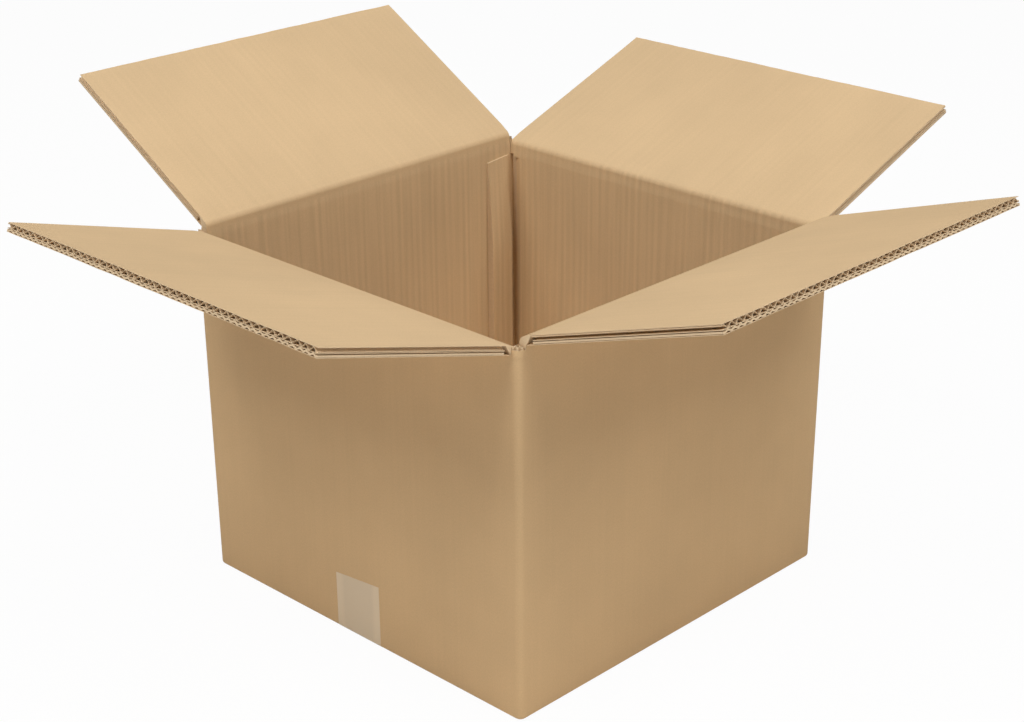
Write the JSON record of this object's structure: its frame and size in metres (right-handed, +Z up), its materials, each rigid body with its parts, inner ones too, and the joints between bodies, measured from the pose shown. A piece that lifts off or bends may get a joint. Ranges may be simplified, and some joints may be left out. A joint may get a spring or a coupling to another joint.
{
  "type": "open cardboard box",
  "caption": "Open square shipping box of double-wall corrugated board, with hinged top flaps folded outwards, a taped bottom and a glued side joint.",
  "frame": {"origin": "centre of the box's base, on the floor", "axes": "+Z up through the open top; the walls with the taped seam's ends and the inner flaps face -Y (front) and +Y (back), the walls with the outer flaps face -X (left) and +X (right)"},
  "size_m": [0.6777, 0.6925, 0.3945],
  "materials": {
    "board": "matte kraft paper",
    "tape": "matte translucent packing tape"
  },
  "bodies": {
    "carton": {"carton_body": "board", "sealing_tape": "tape"},
    "flap_front": {"front_flap": "board"},
    "flap_right": {"right_flap": "board"},
    "flap_back": {"back_flap": "board"},
    "flap_left": {"left_flap": "board"}
  },
  "joints": [
    {"name": "front_fold", "type": "hinge", "parent": "carton", "child": "flap_front", "pos_m": [0, -0.178, 0.292], "axis": [1, 0, 0], "range_deg": [-163.6, 101.4]},
    {"name": "right_fold", "type": "hinge", "parent": "carton", "child": "flap_right", "pos_m": [0.178, 0, 0.2993], "axis": [0, 1, 0], "range_deg": [-161.9, 103.1]},
    {"name": "back_fold", "type": "hinge", "parent": "carton", "child": "flap_back", "pos_m": [0, 0.178, 0.292], "axis": [-1, 0, 0], "range_deg": [-159.9, 105.1]},
    {"name": "left_fold", "type": "hinge", "parent": "carton", "child": "flap_left", "pos_m": [-0.178, 0, 0.2993], "axis": [0, -1, 0], "range_deg": [-149.8, 115.2]}
  ]
}
